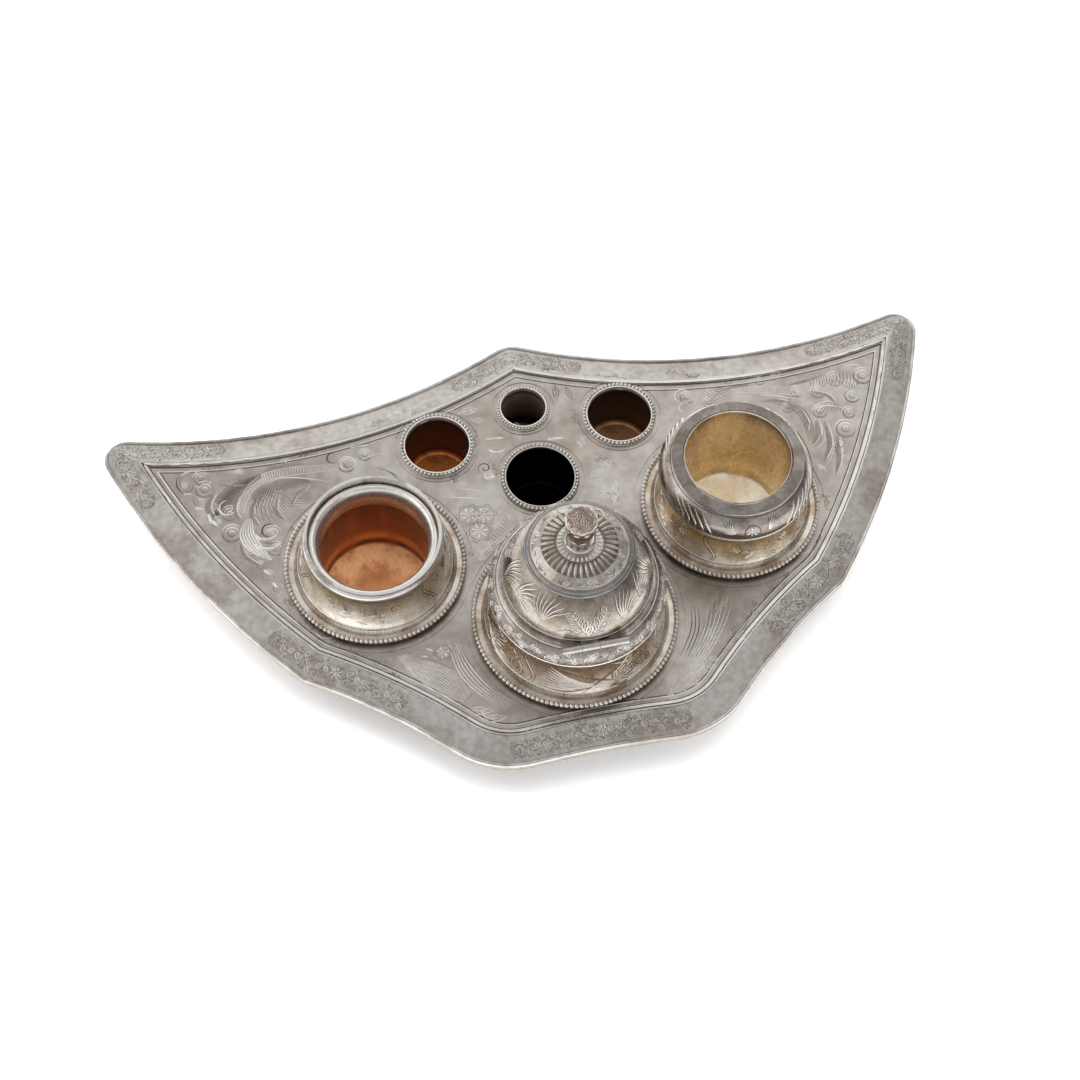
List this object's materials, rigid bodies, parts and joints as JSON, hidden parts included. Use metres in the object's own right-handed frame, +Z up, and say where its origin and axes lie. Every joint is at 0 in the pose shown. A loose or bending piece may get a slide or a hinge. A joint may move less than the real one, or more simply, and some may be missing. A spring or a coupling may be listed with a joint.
{
  "type": "desk inkstand",
  "caption": "Winged metal desk inkstand with a moulded border, beaded wells, lift-out round pots, and a domed lid on a hinge over the ink glass.",
  "frame": {"origin": "under the middle of the tray's outline, on the surface that the feet stand on", "axes": "+X to the right along the wings, +Y from the front, where the lidded pot stands, to the back peak, +Z up"},
  "size_m": [0.3252, 0.1788, 0.1015],
  "materials": {
    "silver_panel": "worn silver plate over copper, engraved, warm grey",
    "silver_border": "dull worn silver plate with chased flowers",
    "silver_edge": "polished silver plate",
    "silver_beads": "silver-plated beads, dark between them",
    "silver_skirt": "engraved silver plate with brown tarnish",
    "silver_rims": "bright silver plate",
    "silver_lid": "engraved silver plate",
    "copper_cup": "bare red-brown copper",
    "gilt_cup": "worn gilt over silver plate",
    "dark_cup": "black tarnish",
    "silver_feet": "cast and plated",
    "ink_glass": "clear pressed glass",
    "steel_fixings": "plain turned"
  },
  "bodies": {
    "root": {"tray_panel": "silver_panel", "border_band": "silver_border", "inner_moulding": "silver_edge", "edge_wire": "silver_edge", "well_cup_left": "copper_cup", "well_collar_left": "silver_beads", "well_cup_right": "copper_cup", "well_collar_right": "silver_beads", "well_cup_back": "gilt_cup", "well_collar_back": "silver_beads", "well_cup_middle": "dark_cup", "well_collar_middle": "silver_beads", "foot_front_left": "silver_feet", "foot_front_right": "silver_feet", "foot_back_left": "silver_feet", "foot_back_right": "silver_feet"},
    "left_pot": {"left_skirt": "silver_skirt", "left_bead_ring": "silver_beads", "left_collar": "silver_rims"},
    "left_liner": {"left_liner_cup": "copper_cup", "left_liner_flange": "silver_rims"},
    "right_pot": {"right_skirt": "silver_skirt", "right_bead_ring": "silver_beads", "right_bulge": "silver_skirt", "right_rim": "silver_rims", "right_cup": "gilt_cup"},
    "centre_pot": {"centre_skirt": "silver_skirt", "centre_bead_ring": "silver_beads", "centre_shoulder": "silver_skirt", "centre_ink_glass": "ink_glass", "hinge_pot_leaf": "silver_rims", "hinge_pin": "steel_fixings"},
    "lid": {"lid_bezel": "silver_rims", "lid_dome": "silver_lid", "lid_cap_rim": "silver_rims", "lid_cap": "silver_lid", "fluted_ring": "silver_lid", "finial_collar": "silver_rims", "finial_knob": "silver_lid", "finial_nut": "steel_fixings", "hinge_lid_leaf": "silver_rims"}
  },
  "joints": [
    {"name": "left_pot_lift", "type": "slide", "parent": "root", "child": "left_pot", "axis": [0, 0, 1], "range_m": [0, 0.06]},
    {"name": "left_liner_lift", "type": "slide", "parent": "left_pot", "child": "left_liner", "axis": [0, 0, 1], "range_m": [0, 0.05]},
    {"name": "right_pot_lift", "type": "slide", "parent": "root", "child": "right_pot", "axis": [0, 0, 1], "range_m": [0, 0.06]},
    {"name": "centre_pot_lift", "type": "slide", "parent": "root", "child": "centre_pot", "axis": [0, 0, 1], "range_m": [0, 0.06]},
    {"name": "lid_hinge", "type": "hinge", "parent": "centre_pot", "child": "lid", "pos_m": [0, -0.06442, 0.0608], "axis": [1, 0, 0], "range_deg": [0, 110]}
  ]
}
